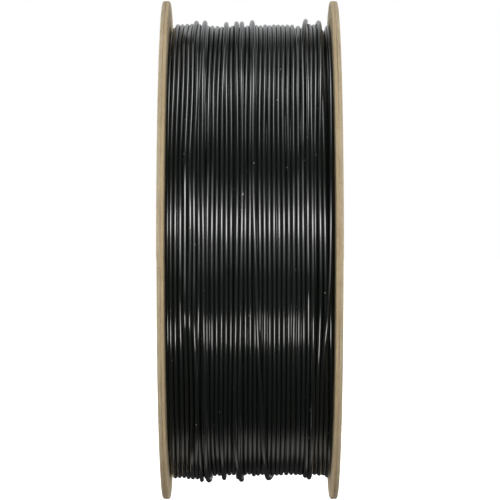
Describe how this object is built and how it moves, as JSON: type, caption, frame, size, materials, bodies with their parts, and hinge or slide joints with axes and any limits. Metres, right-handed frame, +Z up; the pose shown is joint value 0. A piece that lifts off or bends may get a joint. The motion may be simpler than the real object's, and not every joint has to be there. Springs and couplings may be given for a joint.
{
  "type": "filament spool",
  "caption": "Cardboard spool with two round laminated flanges on a paper tube, wound full of glossy black 1.75 mm filament whose free end is tied off through a flange.",
  "frame": {"origin": "on the spool's axis, in the middle of the hub bore, midway between the two flanges", "axes": "+X along the spool's axis, towards the flange that the filament's free end is tied off through; +Z up, with the spool upright on its rims; +Y towards the tied-off end"},
  "size_m": [0.0748, 0.2, 0.2],
  "materials": {
    "kraft_board": "matte",
    "grey_board": "matte",
    "black_filament": "gloss",
    "label_paper": "satin"
  },
  "bodies": {
    "spool": {"left_outer_board": "kraft_board", "left_inner_board": "kraft_board", "right_outer_board": "kraft_board", "right_inner_board": "kraft_board", "core_tube": "grey_board", "filament_winding": "black_filament", "filament_start": "black_filament", "spool_label": "label_paper"},
    "free_end": {"filament_end": "black_filament"}
  },
  "joints": [
    {"name": "tie_off_pull", "type": "slide", "parent": "spool", "child": "free_end", "axis": [-1, 0, 0], "range_m": [0, 0.009]}
  ]
}
